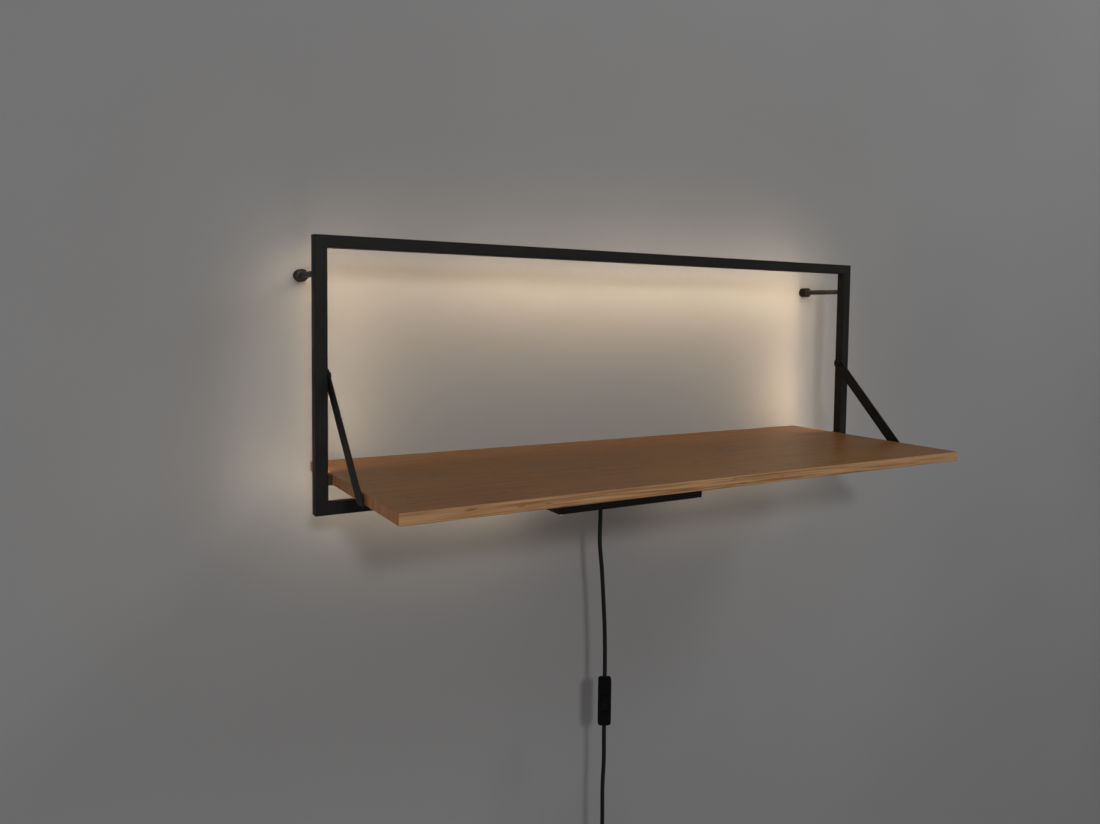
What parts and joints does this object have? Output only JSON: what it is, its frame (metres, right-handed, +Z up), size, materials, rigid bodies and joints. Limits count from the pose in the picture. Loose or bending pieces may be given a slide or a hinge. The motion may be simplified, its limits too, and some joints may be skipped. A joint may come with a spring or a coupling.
{
  "type": "wall lamp with shelf",
  "caption": "Wall lamp with a shelf: a flat rectangular frame of wall-facing light channels on two standoffs, a braced wooden shelf, a driver box and a corded switch.",
  "frame": {"origin": "on the wall, midway between the two wall cups' screw holes", "axes": "+X along the wall to the right as seen from the room, +Y into the wall, +Z up"},
  "size_m": [0.891, 0.343, 1.0003],
  "materials": {
    "black_paint": "matt powder coat",
    "zinc_steel": "zinc plated",
    "bamboo": "caramel bamboo under satin lacquer",
    "opal": "opal diffusing",
    "light_board": "white board with yellow phosphor chips",
    "white_plastic": "satin",
    "black_plastic": "fine matt",
    "black_cord": "satin PVC sheath",
    "wire_colours": "satin PVC",
    "nylon": "satin",
    "brass": "stamped",
    "pin_nickel": "nickel plated"
  },
  "bodies": {
    "lamp": {"bottom_light_strip": "light_board", "bottom_opal_cover": "opal", "bottom_rail": "black_paint", "coil_tie": "nylon", "cord_coil": "black_cord", "cord_lower": "black_cord", "cord_relief": "black_plastic", "cord_upper": "black_cord", "corner_links": "light_board", "cup_grub_screws": "black_paint", "housing_lid": "black_paint", "housing_nuts": "zinc_steel", "housing_screws": "zinc_steel", "housing_shell": "black_paint", "lead_grommet": "black_cord", "led_driver": "white_plastic", "left_light_strip": "light_board", "left_opal_cover": "opal", "left_strut": "black_paint", "left_upright": "black_paint", "lid_screws": "zinc_steel", "mains_wires": "wire_colours", "output_lead": "wire_colours", "plug_body": "black_plastic", "plug_pins": "pin_nickel", "right_light_strip": "light_board", "right_opal_cover": "opal", "right_strut": "black_paint", "right_upright": "black_paint", "shelf_board": "bamboo", "shelf_side_screws": "zinc_steel", "shelf_spacers": "nylon", "standoff_rods": "black_paint", "strut_bolts": "black_paint", "strut_shelf_screws": "black_paint", "strut_washers": "nylon", "strut_weld_nuts": "zinc_steel", "switch_back_shell": "black_plastic", "switch_contacts": "brass", "switch_front_shell": "black_plastic", "switch_screws": "zinc_steel", "terminal_block": "white_plastic", "top_light_strip": "light_board", "top_opal_cover": "opal", "top_rail": "black_paint", "wall_cups": "black_paint"},
    "rocker": {"switch_rocker": "black_plastic"}
  },
  "joints": [
    {"name": "switch_rocker_hinge", "type": "hinge", "parent": "lamp", "child": "rocker", "pos_m": [-0.0363, -0.10496, -0.6045], "axis": [-0.866, 0.5, 0], "range_deg": [0, 16]}
  ]
}
